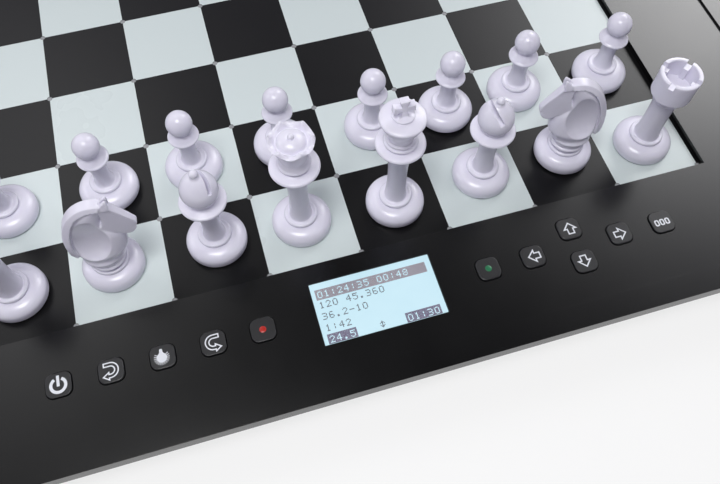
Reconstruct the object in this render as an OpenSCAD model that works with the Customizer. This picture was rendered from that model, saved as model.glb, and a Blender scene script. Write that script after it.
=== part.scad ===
// Electronic chess computer: a sensor board in a low housing, with a key row,
// a display, a lamp window at every square corner, and a full set of pieces.
// Z is up, the player's edge faces -Y, and the origin lies under the centre of the board.

/* [Playing board] */
// Side of one square
square = 40; // [36:0.5:48]
// Black strip between the outer squares and the rim
edge_strip = 1.3; // [0.5:0.1:4]
// Thickness of the plate that carries the squares
plate_t = 1.6; // [1.2:0.1:2]
// How far the plate runs under the rim
plate_lap = 3.5; // [2:0.5:6]
// Diameter of a corner lamp window
lamp_d = 2.5; // [2:0.1:3.2]

/* [Housing] */
// Width of the frame panel between the rim and the raised border
panel_w = 47.7; // [39.5:0.1:60]
// Width of the raised border
border_w = 10; // [6:0.5:16]
// Height of the border above the underside
body_h = 23; // [22:0.5:29]
// Height of the border above the panel
border_rise = 1; // [0.4:0.1:2]
// Thickness of the panel, which is also how deep the board is sunk
panel_t = 3; // [2.4:0.1:4]
// Height of the upright band around the housing
band_h = 7; // [5:0.5:10]
// Thickness of the side walls and the floor
wall = 2.4; // [1.6:0.1:3]
// How far the underside draws in from the band
undercut = 12; // [6:0.5:16]
// Outer corner radius
corner_r = 4; // [2:0.5:8]
// Height of the rubber feet below the floor
foot_h = 2; // [1.5:0.1:4]
// Diameter of a rubber foot
foot_d = 16; // [10:0.5:20]

/* [Keys and display] */
// Side of a key
key_size = 9.9; // [8.5:0.1:12.2]
// Corner radius of a key
key_corner = 2.9; // [1:0.1:3.5]
// Height of a key above the panel
key_rise = 0.8; // [0.7:0.1:2]
// How far a key travels
key_travel = 0.6; // [0.4:0.1:0.7]
// Distance between neighbouring keys
key_pitch = 20; // [18.5:0.1:22]
// Middle of the display to the middle of the innermost key
key_start = 48; // [46:0.5:54]
// Rim to the middle of the key row
key_row_in = 22.2; // [20:0.1:26]
// Half the distance between the up key and the down key
arrow_split = 8; // [7:0.1:9]
// Width of the display window
window_w = 52; // [44:0.5:62]
// Depth of the display window
window_d = 27.3; // [22:0.1:32]
// Thickness of the display window
window_t = 1.3; // [1:0.1:1.8]

/* [Chess pieces] */
// Diameter of every piece's base
base_d = 25.6; // [21.5:0.1:31]
// Height of a king
king_h = 72; // [67:0.5:86]
// Height of a queen
queen_h = 64.2; // [61:0.1:77]
// Height of a bishop
bishop_h = 54.8; // [51:0.1:66]
// Height of a knight
knight_h = 51.2; // [49:0.1:58]
// Height of a rook
rook_h = 48.5; // [45:0.5:58]
// Height of a pawn
pawn_h = 39.2; // [37:0.1:47]
// Diameter of a piece's stem at its waist
stem_d = 8; // [6.5:0.1:9.6]

/* [Hidden] */
// Heights, from the table up
floor_z = foot_h;
border_z = foot_h + body_h;
panel_z = border_z - border_rise;
deck_z = panel_z - panel_t;
band_z = border_z - band_h;
inner_floor_z = floor_z + wall;

// Half widths of the board and of the housing
field_half = 4 * square;
rim_half = field_half + edge_strip;
plate_half = rim_half + plate_lap;
border_half = rim_half + panel_w;
body_half = border_half + border_w;
skirt_gap = 0.3;
tub_half = body_half - wall - skirt_gap;
tub_low_half = tub_half - undercut;
// The slanted wall keeps its thickness by this much less draw-in at the inner floor
lean_in = 1.6;
tub_floor_half = tub_low_half - wall + lean_in;

// The stack under the squares
sheet_t = 0.6;
board_t = 1.6;
plate_z = deck_z - plate_t;
sheet_z = plate_z - sheet_t;
sensor_z = sheet_z - board_t;
sensor_half = plate_half;
lamp_fit = 0.03;
led_side = 1.6;
led_h = 0.5;
led_gap = 0.4;

// Inner frame and posts that carry the stack
cradle_half = sensor_half - 1;
cradle_t = 2;
post_d = 6;
post_pitch = square * 1.875;
ribbon_w = 20;
notch_h = 5;

// Keys: a cap, a flange behind the panel and a stem that enters the switch
key_fit = 0.25;
key_drop = 0.3;
flange_out = 1.2;
flange_t = 1;
stem_r = 1.6;
switch_side = 6;
switch_bore_r = 1.9;
switch_gap = 0.4;
key_top = panel_z + key_rise;
flange_z = deck_z - flange_t;
main_t = 1.6;
main_z = inner_floor_z + 5.4;
main_top = main_z + main_t;
switch_floor = 1.8;
stem_z = main_top + switch_floor + key_travel + switch_gap;
switch_top = flange_z - key_travel - 0.8;
key_row_y = -(rim_half + key_row_in);
key_list = [
    [-key_start - 4 * key_pitch, 0], [-key_start - 3 * key_pitch, 0], [-key_start - 2 * key_pitch, 0],
    [-key_start - key_pitch, 0], [-key_start, 0], [key_start, 0], [key_start + key_pitch, 0],
    [key_start + 2 * key_pitch, arrow_split], [key_start + 2 * key_pitch, -arrow_split],
    [key_start + 3 * key_pitch, 0], [key_start + 4 * key_pitch, 0]
];

// Main board, display and ribbon
main_half = key_start + 4 * key_pitch + 12;
main_back = -(sensor_half + 3);
board_gap = 1;
main_front = -(tub_floor_half - board_gap);
main_post_d = 5;
ledge = 1.4;
window_fit = 0.2;
window_sink = 0.2;
module_edge = 3;
module_t = 3.5;
module_leg = 3;
plug_d = 4;

// Screws and their towers
screw_r = 1.45;
pilot_r = 1.5;
head_r = 2.75;
head_h = 1.8;
tower_r = 4.5;
tower_gap = 0.02;
split_z = floor_z + 10;
recess_h = 4;
side_screw = rim_half + 0.6 * panel_w;
corner_screw = tub_low_half - tower_r - 1.5;
front_screw = main_half + 12;
screw_list = concat(
    [for (x = [-1, 1], y = [-1, 1]) [x * corner_screw, y * corner_screw]],
    [for (x = [-1, 1], y = [-1, 1]) [x * side_screw, y * 1.65 * square]],
    [for (x = [-1, 1]) [x * 1.65 * square, side_screw]],
    [for (x = [-1, 1]) [x * front_screw, -side_screw]]
);

// Feet, sounder and power inlet
foot_seat = 0.6;
foot_out = tub_low_half - foot_d / 2 - 12;
foot_list = concat([[0, 0]], [for (x = [-1, 1], y = [-1, 1]) [x * foot_out, y * foot_out]]);
sounder_r = 13;
sounder_h = 7;
sounder_x = rim_half + 0.5 * panel_w;
grille_r = 1.1;
grille_pitch = 4;
jack_x = 3 * square;
jack_w = 12;
jack_h = 11;
jack_len = 14;
jack_r = 3.2;
jack_pin_r = 1.05;
jack_deep = 10;
jack_gap = 0.3;
jack_y = tub_floor_half - jack_gap;
jack_z = inner_floor_z + jack_h / 2;
jack_mouth_r = 6;

// Chess pieces
base_r = base_d / 2;
stem_waist = stem_d / 2;
foot_edge = 1;
foot_band = 3.2;
dome_top = 7.4;
bead = 0.9;
head_wide = 9;
disc_r = 10;
disc_half = 1;
rise = deck_z;
files = ["a", "b", "c", "d", "e", "f", "g", "h"];
// How far each white piece stands off the middle of its square, from the a file to the h file
back_off = [
    [-1.3, 0.5], [-1.2, 2.5], [2.3, 1.9], [-0.8, 1], [0.7, -1.1], [2.1, 2.1], [2.6, 3.6], [-0.1, -1.9]
];
pawn_off = [
    [-2, 0.5], [1.7, 0.6], [-0.4, 1.4], [0.3, 2.4], [2.6, 0.5], [-1.4, 0.2], [-5.6, 2.5], [-1.7, 0.9]
];
white = [0.89, 0.88, 0.93];
black = [0.1, 0.1, 0.11];

$fn = 64;

// ---- outlines and small shared shapes ----

// Points of an elliptical arc
function arc(cx, cy, rx, ry, a0, a1, n) =
    [for (i = [0 : n]) let (a = a0 + (a1 - a0) * i / n) [cx + rx * cos(a), cy + ry * sin(a)]];

// Points of a stem that flares from its waist towards both ends
function flare(z0, z1, low, waist, high, n) =
    [for (i = [0 : n]) let (t = i / n)
        [waist + (low - waist) * pow(1 - t, 3) + (high - waist) * pow(t, 4), z0 + (z1 - z0) * t]];

module rounded_square(w, d, r) {
    union() {
        square([w - 2 * r, d], center = true);
        square([w, d - 2 * r], center = true);
        for (x = [-1, 1], y = [-1, 1])
            translate([x * (w / 2 - r), y * (d / 2 - r)]) circle(r);
    }
}

module slab(half_x, half_y, z0, z1) {
    translate([-half_x, -half_y, z0]) cube([2 * half_x, 2 * half_y, z1 - z0]);
}

// A block whose four sides lean in from the band down to the floor
module tub_block(low, high, z0, z_knee, z1) {
    outline = [[-low, z0], [low, z0], [high, z_knee], [high, z1], [-high, z1], [-high, z_knee]];
    intersection() {
        translate([0, high + 1, 0]) rotate([90, 0, 0]) linear_extrude(2 * high + 2) polygon(outline);
        translate([-high - 1, 0, 0]) rotate([90, 0, 90]) linear_extrude(2 * high + 2) polygon(outline);
    }
}

module at_keys() {
    for (k = key_list) translate([k[0], key_row_y + k[1] - key_drop, 0]) children();
}

module at_corners() {
    for (i = [-4 : 4], j = [-4 : 4]) translate([i * square, j * square, 0]) children();
}

// ---- housing ----

module top_housing() {
    color([0.07, 0.07, 0.075]) difference() {
        union() {
            difference() {
                translate([0, 0, band_z]) linear_extrude(band_h)
                    rounded_square(2 * body_half, 2 * body_half, corner_r);
                slab(border_half, border_half, panel_z, border_z + 1);
                slab(body_half - wall, body_half - wall, band_z - 1, deck_z);
            }
            for (p = screw_list)
                translate([p[0], p[1], split_z + tower_gap]) cylinder(r = tower_r, h = deck_z - split_z);
        }
        slab(rim_half, rim_half, split_z, border_z + 1);
        for (p = screw_list)
            translate([p[0], p[1], split_z - 1]) cylinder(r = pilot_r, h = deck_z - split_z);
        at_keys() translate([0, 0, deck_z - 1]) linear_extrude(panel_t + 2)
            rounded_square(key_size + 2 * key_fit, key_size + 2 * key_fit, key_corner + key_fit);
        translate([0, key_row_y, 0]) {
            slab(window_w / 2, window_d / 2, panel_z - window_t - window_sink, panel_z + 1);
            slab(window_w / 2 - ledge, window_d / 2 - ledge, deck_z - 1, panel_z);
        }
    }
}

module bottom_housing() {
    color([0.08, 0.08, 0.085]) difference() {
        union() {
            difference() {
                tub_block(tub_low_half, tub_half, floor_z, band_z, deck_z);
                tub_block(tub_floor_half, tub_half - wall, inner_floor_z, band_z, deck_z + 1);
            }
            difference() {
                slab(cradle_half, cradle_half, inner_floor_z - 1, sensor_z);
                slab(cradle_half - cradle_t, cradle_half - cradle_t, inner_floor_z - 2, sensor_z + 1);
                translate([0, -cradle_half, 0])
                    slab(ribbon_w / 2 + 2, cradle_t + 1, sensor_z - notch_h, sensor_z + 1);
            }
            for (i = [-2 : 2], j = [-2 : 2]) if (i != 0 || j != 0)
                translate([i * post_pitch, j * post_pitch, inner_floor_z - 1])
                    cylinder(d = post_d, h = sensor_z - inner_floor_z + 1);
            for (x = [-1, 0, 1], y = [main_back - 4, main_front + 4]) if (x != 0 || y < key_row_y)
                translate([x * (main_half - 8), y, inner_floor_z - 1])
                    cylinder(d = main_post_d, h = main_z - inner_floor_z + 1);
            for (p = screw_list)
                translate([p[0], p[1], floor_z]) cylinder(r = tower_r, h = split_z - floor_z);
        }
        for (p = screw_list) translate([p[0], p[1], 0]) {
            translate([0, 0, floor_z - 1]) cylinder(r = head_r + 0.4, h = recess_h + 1);
            cylinder(r = pilot_r + 0.2, h = border_z);
        }
        for (p = foot_list) translate([p[0], p[1], floor_z - 1]) cylinder(d = foot_d + 0.4, h = foot_seat + 1);
        grille_holes();
        translate([jack_x, jack_y - 3, jack_z]) rotate([-90, 0, 0]) cylinder(r = jack_mouth_r, h = 20);
    }
}

module grille_holes() {
    for (i = [-2 : 2], j = [-2 : 2]) if (i * i + j * j < 7)
        translate([sounder_x + i * grille_pitch, j * grille_pitch, floor_z - 1])
            cylinder(r = grille_r, h = wall + 2);
}

module housing_screws() {
    color("silver") for (p = screw_list) translate([p[0], p[1], floor_z + recess_h - head_h]) difference() {
        union() {
            cylinder(r = head_r, h = head_h);
            cylinder(r = screw_r, h = head_h + deck_z - floor_z - recess_h - 3);
        }
        for (a = [0, 90]) rotate(a) translate([-head_r * 0.6, -0.4, -1]) cube([head_r * 1.2, 0.8, 2]);
    }
}

module rubber_feet() {
    color([0.15, 0.15, 0.15]) for (p = foot_list)
        translate([p[0], p[1], 0]) cylinder(d = foot_d, h = floor_z + foot_seat);
}

// ---- playing surface and what lies under it ----

module playing_surface() {
    color([0.55, 0.58, 0.58]) difference() {
        slab(plate_half, plate_half, plate_z, deck_z);
        at_corners() translate([0, 0, plate_z - 1]) cylinder(d = lamp_d, h = plate_t + 2);
    }
}

module lamp_windows() {
    color([0.6, 0.62, 0.64]) at_corners() translate([0, 0, plate_z])
        cylinder(r = lamp_d / 2 - lamp_fit, h = plate_t);
}

module pressure_sheet() {
    color([0.2, 0.2, 0.22]) difference() {
        slab(plate_half, plate_half, sheet_z, plate_z);
        at_corners() translate([0, 0, sheet_z - 1]) cylinder(d = lamp_d + led_gap, h = sheet_t + 2);
    }
}

module sensor_board() {
    color([0.05, 0.32, 0.16]) slab(sensor_half, sensor_half, sensor_z, sheet_z);
}

module corner_leds() {
    color([0.95, 0.9, 0.8]) at_corners()
        slab(led_side / 2, led_side / 4, sheet_z, sheet_z + led_h);
}

// ---- control board ----

module main_board() {
    color([0.05, 0.32, 0.16]) translate([-main_half, main_front, main_z])
        cube([2 * main_half, main_back - main_front, main_t]);
}

module board_chips() {
    color([0.06, 0.06, 0.06]) {
        translate([-main_half + 30, main_back - 10, main_top]) cube([14, 8, 1.6]);
        translate([-main_half + 62, main_back - 10, main_top]) cube([9, 8, 1.4]);
        translate([main_half - 40, main_back - 9, main_top]) cube([8, 6, 1.5]);
    }
}

module key_switches() {
    color([0.12, 0.12, 0.13]) at_keys() difference() {
        slab(switch_side / 2, switch_side / 2, main_top, switch_top);
        translate([0, 0, main_top + switch_floor]) cylinder(r = switch_bore_r, h = switch_top);
    }
}

module key(i) {
    k = key_list[i];
    cap = key_size;
    color([0.08, 0.08, 0.085]) translate([k[0], key_row_y + k[1] - key_drop, 0]) union() {
        translate([0, 0, deck_z - 0.5]) linear_extrude(key_top - deck_z + 0.5)
            rounded_square(cap, cap, key_corner);
        translate([0, 0, flange_z]) linear_extrude(flange_t)
            rounded_square(cap + 2 * flange_out, cap + 2 * flange_out, key_corner);
        translate([0, 0, stem_z]) cylinder(r = stem_r, h = deck_z - stem_z);
    }
}

module display_module() {
    module_top = deck_z;
    half_x = window_w / 2 + module_edge;
    half_y = window_d / 2 + module_edge;
    color([0.3, 0.31, 0.33]) translate([0, key_row_y, 0]) union() {
        slab(half_x, half_y, module_top - module_t, module_top);
        for (x = [-1, 1], y = [-1, 1])
            translate([x * (half_x - module_leg), y * (half_y - module_leg - 2), main_top])
                cylinder(d = module_leg, h = module_top - main_top);
    }
}

module display_window() {
    color([0.85, 0.88, 0.95, 0.6]) translate([0, key_row_y, 0])
        slab(window_w / 2 - window_fit, window_d / 2 - window_fit,
             panel_z - window_t - window_sink, panel_z - window_sink);
}

module ribbon_cable() {
    plug_half = ribbon_w / 2;
    back_y = -cradle_half + cradle_t + plug_d;
    front_y = main_back - plug_d - 1;
    strip_z = sensor_z - notch_h / 2 - 0.5;
    color([0.75, 0.75, 0.72]) union() {
        translate([-plug_half, back_y - plug_d / 2, sensor_z - notch_h + 1]) cube([ribbon_w, plug_d, notch_h - 1]);
        translate([-plug_half + 1, front_y, strip_z]) cube([ribbon_w - 2, back_y - front_y, 0.8]);
        translate([-plug_half, front_y, main_top]) cube([ribbon_w, plug_d, strip_z + 1.2 - main_top]);
    }
}

module sounder() {
    color([0.1, 0.1, 0.1]) translate([sounder_x, 0, inner_floor_z]) difference() {
        cylinder(r = sounder_r, h = sounder_h);
        translate([0, 0, -1]) cylinder(r = sounder_r - 1.5, h = 2.5);
    }
}

module power_inlet() {
    color([0.09, 0.09, 0.09]) translate([jack_x, jack_y, jack_z]) rotate([-90, 0, 0]) union() {
        difference() {
            translate([-jack_w / 2, -jack_h / 2, -jack_len]) cube([jack_w, jack_h, jack_len]);
            translate([0, 0, -jack_deep]) cylinder(r = jack_r, h = jack_deep + 1);
        }
        translate([0, 0, -jack_deep - 1]) cylinder(r = jack_pin_r, h = jack_deep);
    }
}

// ---- chess pieces ----

// Underside, base dome and the bead that ends it at radius r, from the axis outwards
function foot_points(r) = concat(
    [[0, 0]],
    arc(base_r - foot_edge, foot_edge, foot_edge, foot_edge, -90, 0, 3),
    arc(r, foot_band, base_r - r, dome_top - foot_band, 0, 84, 7),
    arc(r - bead, dome_top + bead, bead, bead, -90, 90, 5)
);

// A flat disc of radius r with a rounded edge, at height z
function disc_points(r, z, half) = arc(r - half, z, half, half, -90, 90, 5);

module turned(points) {
    rotate_extrude() polygon(points);
}

module king_cross(span, z) {
    translate([0, 1.5, z]) rotate([90, 0, 0]) linear_extrude(3) union() {
        for (a = [0 : 90 : 270]) rotate(a)
            polygon([[-0.9, 0], [-1.9, span], [1.9, span], [0.9, 0]]);
        square(1.8, center = true);
    }
}

module king() {
    cross = 4.2;
    cup_z = king_h - 10.5;
    disc_z = king_h - 26;
    turned(concat(
        foot_points(6.8),
        flare(dome_top + 2 * bead, disc_z - 1.6, 5.2, stem_waist, 5.6, 7),
        disc_points(disc_r, disc_z, disc_half),
        disc_points(6.4, disc_z + 3, 0.7),
        [[4.9, disc_z + 4.5], [5.5, disc_z + 7.5], [head_wide - 0.6, cup_z - 1.6]],
        disc_points(head_wide, cup_z, 0.9),
        [[6.8, cup_z + 1.3], [4.6, cup_z + 1.5]],
        disc_points(4.4, cup_z + 2, 0.4),
        [[1.6, cup_z + 2.4], [1.6, king_h - 2 * cross + 0.5], [0, king_h - 2 * cross + 0.5]]
    ));
    king_cross(cross, king_h - cross);
}

module queen() {
    rim_z = queen_h - 1.2;
    disc_z = queen_h - 19.7;
    scallops = 6;
    difference() {
        turned(concat(
            foot_points(6.8),
            flare(dome_top + 2 * bead, disc_z - 1.6, 5.2, stem_waist, 5.6, 7),
            disc_points(disc_r, disc_z, disc_half),
            disc_points(6.4, disc_z + 3, 0.7),
            [[5.2, disc_z + 6], [6.4, disc_z + 11], [head_wide - 0.1, rim_z], [head_wide - 2, rim_z]],
            [[6.2, rim_z - 2.1]],
            arc(0, rim_z - 2.1, 5.4, 1.9, 10, 74, 6),
            arc(0, queen_h - 1.3, 1.3, 1.3, -10, 90, 5)
        ));
        for (i = [0 : scallops - 1]) rotate((i + 0.5) * 360 / scallops)
            translate([head_wide - 2.2, 0, rim_z + 2]) rotate([0, 90, 0]) cylinder(r = 3.4, h = 4);
    }
}

module bishop() {
    disc_z = bishop_h - 20.1;
    head_z = bishop_h - 12.4;
    difference() {
        turned(concat(
            foot_points(6.8),
            flare(dome_top + 2 * bead, disc_z - 1.6, 5.2, stem_waist - 0.2, 5, 7),
            disc_points(9.4, disc_z, 0.9),
            disc_points(5.8, disc_z + 2.4, 0.6),
            arc(0, head_z, 7.4, 6, -46, 0, 4),
            arc(0, head_z, 7.4, 9.8, 12, 78, 7),
            arc(0, bishop_h - 1.8, 1.8, 1.8, -20, 90, 6)
        ));
        translate([0, 0, head_z + 1.7]) rotate([0, -25.6, 0]) slab(0.6, 9, 1.2, 12);
    }
}

module rook() {
    ring_z = rook_h - 15.5;
    cup_z = rook_h - 11;
    notch = 2.3;
    difference() {
        turned(concat(
            foot_points(7.2),
            flare(dome_top + 2 * bead, ring_z - 1, 5.8, stem_waist + 0.9, stem_waist + 1.2, 5),
            disc_points(6.2, ring_z, 0.8),
            [[5.6, ring_z + 1.4]],
            arc(5.6, cup_z, 3.4, 3, -80, 0, 4),
            [[9.1, rook_h], [6.9, rook_h], [6.7, rook_h - 6], [0, rook_h - 6]]
        ));
        for (a = [0, 90]) rotate(a + 35) slab(10, notch / 2, rook_h - 3.3, rook_h + 1);
    }
}

module pawn() {
    head_r = 5.5;
    collar_z = pawn_h - 13.8;
    turned(concat(
        foot_points(6.6),
        flare(dome_top + 2 * bead, collar_z - 1, 5, stem_waist - 0.2, 4.4, 6),
        disc_points(6.7, collar_z, 0.8),
        arc(0, pawn_h - head_r, head_r, head_r, -50, 90, 12)
    ));
}

// The horse looks along +X; its side outline is cut to a taper seen from the front
module knight() {
    neck_z = 15.2;
    bowl_z = neck_z + 5.8;
    poll = knight_h - 3;
    chin = knight_h - 22.4;
    crest = arc(4.7, bowl_z, 16.7, poll + 1.4 - bowl_z, 184, 80, 10);
    brow = [[7.6, poll], [12, knight_h], [11.8, poll - 2]];
    muzzle = [[17.7, chin + 6.4], [17.8, chin + 4], [15.6, chin + 0.2], [13.2, chin]];
    throat = [[7.5, chin + 4], [4.6, chin + 5.7]];
    chest = arc(1.6, bowl_z + 4, 10, 9, 60, -30, 5);
    side = concat(
        [[-6.8, neck_z - 2], [-9.2, neck_z], [-9.8, bowl_z - 2.4], [-12, bowl_z - 2.4]],
        crest, brow, muzzle, throat, chest,
        [[8.2, neck_z], [6.8, neck_z - 2]]
    );
    front = [
        [-6.8, neck_z - 3], [-7.4, bowl_z], [-5.2, bowl_z + 10], [-3.2, poll - 6], [-2.4, knight_h + 1],
        [2.4, knight_h + 1], [3.2, poll - 6], [5.2, bowl_z + 10], [7.4, bowl_z], [6.8, neck_z - 3]
    ];
    union() {
        turned(concat(
            foot_points(8),
            [[6.6, dome_top + 2 * bead + 0.6]],
            disc_points(7.6, dome_top + 2 * bead + 2, 0.9),
            [[6.8, neck_z - 2.6], [6.8, neck_z - 1], [0, neck_z - 1]]
        ));
        intersection() {
            translate([0, 8, 0]) rotate([90, 0, 0]) linear_extrude(16) polygon(side);
            translate([-20, 0, 0]) rotate([90, 0, 90]) linear_extrude(44) polygon(front);
        }
    }
}

// Puts a white piece on its square, as far off the middle as its entry says, turned by a
module white_at(file, rank, off, a = 0) {
    color(white) translate([(file - 3.5) * square + off[0], (rank - 3.5) * square + off[1], rise])
        rotate(a) children();
}

module black_at(file, rank, a = 0) {
    color(black) translate([(file - 3.5) * square, (rank - 3.5) * square, rise]) rotate(a) children();
}

// ---- nodes ----

top_housing();
bottom_housing();
playing_surface();
lamp_windows();
pressure_sheet();
sensor_board();
corner_leds();
main_board();
board_chips();
key_switches();
display_module();
display_window();
ribbon_cable();
sounder();
power_inlet();
housing_screws();
rubber_feet();

key(0);  // power_key
key(1);  // back_key
key(2);  // hint_key
key(3);  // forward_key
key(4);  // red_key
key(5);  // green_key
key(6);  // left_key
key(7);  // up_key
key(8);  // down_key
key(9);  // right_key
key(10);  // new_game_key

white_at(0, 0, back_off[0]) rook();  // white_rook_a
white_at(1, 0, back_off[1], -4.5) knight();  // white_knight_b
white_at(2, 0, back_off[2], 207) bishop();  // white_bishop_c
white_at(3, 0, back_off[3], -16) queen();  // white_queen
white_at(4, 0, back_off[4]) king();  // white_king
white_at(5, 0, back_off[5], 2.4) bishop();  // white_bishop_f
white_at(6, 0, back_off[6], 166) knight();  // white_knight_g
white_at(7, 0, back_off[7]) rook();  // white_rook_h
black_at(0, 7) rook();  // black_rook_a
black_at(1, 7) knight();  // black_knight_b
black_at(2, 7) bishop();  // black_bishop_c
black_at(3, 7) queen();  // black_queen
black_at(4, 7) king();  // black_king
black_at(5, 7, 180) bishop();  // black_bishop_f
black_at(6, 7, 180) knight();  // black_knight_g
black_at(7, 7) rook();  // black_rook_h

for (i = [0 : 7]) {
    white_at(i, 1, pawn_off[i]) pawn();
    black_at(i, 6) pawn();
}
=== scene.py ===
"""The looks of an electronic chess computer with its pieces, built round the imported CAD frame.

Shapes are drawn in millimetres and become metres when place() makes an object of them.
"""

import math

import bmesh
import bpy
from mathutils import Matrix, Vector


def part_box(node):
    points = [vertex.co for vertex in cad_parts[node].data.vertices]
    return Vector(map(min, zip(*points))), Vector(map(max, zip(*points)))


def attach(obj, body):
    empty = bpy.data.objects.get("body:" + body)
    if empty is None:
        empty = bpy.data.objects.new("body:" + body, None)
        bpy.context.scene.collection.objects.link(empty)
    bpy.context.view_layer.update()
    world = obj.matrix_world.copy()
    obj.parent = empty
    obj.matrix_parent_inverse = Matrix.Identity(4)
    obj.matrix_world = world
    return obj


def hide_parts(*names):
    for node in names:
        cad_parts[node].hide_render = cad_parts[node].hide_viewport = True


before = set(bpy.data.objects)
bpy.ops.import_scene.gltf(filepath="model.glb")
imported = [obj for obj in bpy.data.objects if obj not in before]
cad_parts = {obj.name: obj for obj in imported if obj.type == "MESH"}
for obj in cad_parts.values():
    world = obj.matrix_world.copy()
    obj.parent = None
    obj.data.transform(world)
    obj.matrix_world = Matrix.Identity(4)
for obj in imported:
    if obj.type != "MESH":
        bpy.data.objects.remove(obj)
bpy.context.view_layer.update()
MM = 0.001


# ---- Bottom housing ----
# A moulded black tub that draws in below the band, with the frame, posts and screw towers inside.
# It is the CAD shell welded into whole faces, with its moulded edges eased.

def corners(node):
    """Lowest and highest corner of a CAD node, in millimetres."""
    low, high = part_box(node)
    return low / MM, high / MM


def add(tree, kind, inputs=None, **settings):
    """Adds a node; an input is given as a plain value or as the socket that feeds it."""
    node = tree.nodes.new(kind)
    for name, value in settings.items():
        setattr(node, name, value)
    for name, value in (inputs or {}).items():
        if isinstance(value, bpy.types.NodeSocket):
            tree.links.new(value, node.inputs[name])
        else:
            node.inputs[name].default_value = value
    return node


def reckon(tree, operation, *terms):
    """The result of a Math node on plain values or sockets."""
    return add(tree, "ShaderNodeMath", dict(enumerate(terms)), operation=operation).outputs[0]


def new_group(name, kind, inputs, outputs):
    """A node group with the given sockets, and its input and output nodes."""
    group = bpy.data.node_groups.new(name, kind)
    for title, (socket_type, value) in inputs.items():
        socket = group.interface.new_socket(title, in_out="INPUT", socket_type=socket_type)
        if value is not None:
            socket.default_value = value
    for title, socket_type in outputs.items():
        group.interface.new_socket(title, in_out="OUTPUT", socket_type=socket_type)
    return group, group.nodes.new("NodeGroupInput"), group.nodes.new("NodeGroupOutput")


def grain_group():
    """Fine texture of a moulded or printed face: a height, and a mask of its brighter specks."""
    sockets = {"Size": ("NodeSocketFloat", 0.4), "Speck": ("NodeSocketFloat", 0.55)}
    group, given, result = new_group("fine_grain", "ShaderNodeTree", sockets,
                                     {"Height": "NodeSocketFloat", "Specks": "NodeSocketFloat"})
    where = add(group, "ShaderNodeTexCoord").outputs["Object"]
    pitch = reckon(group, "DIVIDE", 1 / MM, given.outputs["Size"])
    noise = add(group, "ShaderNodeTexNoise",
                {"Vector": where, "Scale": pitch, "Detail": 3.0, "Roughness": 0.6})
    cells = add(group, "ShaderNodeTexVoronoi", {"Vector": where, "Scale": pitch})
    height = reckon(group, "ADD", noise.outputs["Fac"], cells.outputs["Distance"])
    specks = add(group, "ShaderNodeMapRange",
                 {"Value": noise.outputs["Fac"], "From Min": given.outputs["Speck"], "From Max": 0.85})
    group.links.new(height, result.inputs["Height"])
    group.links.new(specks.outputs[0], result.inputs["Specks"])
    return group


def mottle_group():
    """Slow change over a face, as from cooling and handling: a shade and a roughness."""
    sockets = {"Size": ("NodeSocketFloat", 30.0), "Roughness": ("NodeSocketFloat", 0.4),
               "Swing": ("NodeSocketFloat", 0.06)}
    group, given, result = new_group("slow_mottle", "ShaderNodeTree", sockets,
                                     {"Shade": "NodeSocketFloat", "Roughness": "NodeSocketFloat"})
    where = add(group, "ShaderNodeTexCoord").outputs["Object"]
    pitch = reckon(group, "DIVIDE", 1 / MM, given.outputs["Size"])
    noise = add(group, "ShaderNodeTexNoise",
                {"Vector": where, "Scale": pitch, "Detail": 4.0, "Roughness": 0.55})
    centred = reckon(group, "SUBTRACT", noise.outputs["Fac"], 0.5)
    rough = reckon(group, "MULTIPLY_ADD", centred, given.outputs["Swing"], given.outputs["Roughness"])
    group.links.new(noise.outputs["Fac"], result.inputs["Shade"])
    group.links.new(rough, result.inputs["Roughness"])
    return group


fine_grain = grain_group()
slow_mottle = mottle_group()


def bare_material(name, sockets):
    """A material with plain values on its shader; returns it, its tree and the shader."""
    material = bpy.data.materials.new(name)
    material.use_nodes = True
    shader = material.node_tree.nodes["Principled BSDF"]
    for title, value in sockets.items():
        shader.inputs[title].default_value = value
    return material, material.node_tree, shader


def two_tone(tree, shade, dark, light):
    """A colour between dark and light, by a shade from 0 to 1."""
    mix = add(tree, "ShaderNodeMix", data_type="RGBA")
    colour_a, colour_b = [socket for socket in mix.inputs if socket.type == "RGBA"]
    colour_a.default_value = (*dark, 1)
    colour_b.default_value = (*light, 1)
    tree.links.new(shade, mix.inputs["Factor"])
    return [socket for socket in mix.outputs if socket.type == "RGBA"][0]


def moulded(name, dark, light, roughness, grain=0.4, bite=0.02, swing=0.06, mottle=30.0, **sockets):
    """Plastic or rubber with a moulded grain; grain, bite and mottle are in millimetres."""
    plain = {title.replace("_", " "): value for title, value in sockets.items()}
    material, tree, shader = bare_material(name, plain)
    slow = add(tree, "ShaderNodeGroup", {"Size": mottle, "Roughness": roughness, "Swing": swing},
               node_tree=slow_mottle)
    fine = add(tree, "ShaderNodeGroup", {"Size": grain}, node_tree=fine_grain)
    shade = add(tree, "ShaderNodeMath", {0: slow.outputs["Shade"], 1: fine.outputs["Specks"]},
                operation="ADD", use_clamp=True)
    bump = add(tree, "ShaderNodeBump", {"Height": fine.outputs["Height"], "Distance": bite * MM})
    tree.links.new(two_tone(tree, shade.outputs[0], dark, light), shader.inputs["Base Color"])
    tree.links.new(slow.outputs["Roughness"], shader.inputs["Roughness"])
    tree.links.new(bump.outputs["Normal"], shader.inputs["Normal"])
    return material


def place(name, bm, *materials):
    """Makes an object of a millimetre mesh, at its place in the row frame."""
    bmesh.ops.scale(bm, vec=(MM, MM, MM), verts=bm.verts)
    mesh = bpy.data.meshes.new(name)
    bm.to_mesh(mesh)
    bm.free()
    for material in materials:
        mesh.materials.append(material)
    mesh.shade_smooth()
    piece = bpy.data.objects.new(name, mesh)
    bpy.context.scene.collection.objects.link(piece)
    return piece


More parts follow.
